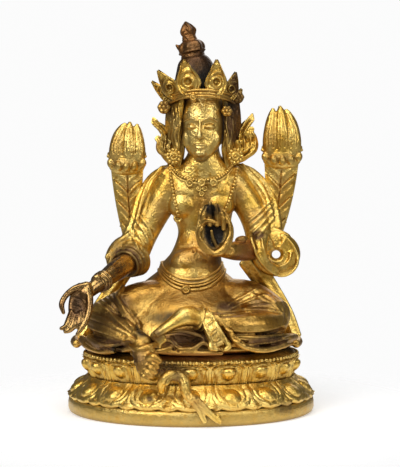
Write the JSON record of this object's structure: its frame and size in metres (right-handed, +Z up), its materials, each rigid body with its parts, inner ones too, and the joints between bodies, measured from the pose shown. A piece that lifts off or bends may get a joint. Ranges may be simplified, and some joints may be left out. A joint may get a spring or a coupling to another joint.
{
  "type": "gilt bronze seated bodhisattva figure",
  "caption": "Gilt bronze seated female bodhisattva, one hand lowered in giving, the other raised in teaching, between two lotuses on an oval double-lotus plinth.",
  "frame": {"origin": "middle of the plinth's flat underside, on the surface it stands on", "axes": "+Z up, the figure faces -Y, +X is the figure's left side"},
  "size_m": [0.1012, 0.0801, 0.1597],
  "materials": {
    "gilt_figure": "worn fire gilding over bronze, dark in the hollows, bare brown bronze on the topknot and hands",
    "gilt_plinth": "bright worn fire gilding with brown spots, darker between the petals"
  },
  "bodies": {
    "root": {"figure": "gilt_figure", "lotus_plinth": "gilt_plinth"}
  },
  "joints": []
}
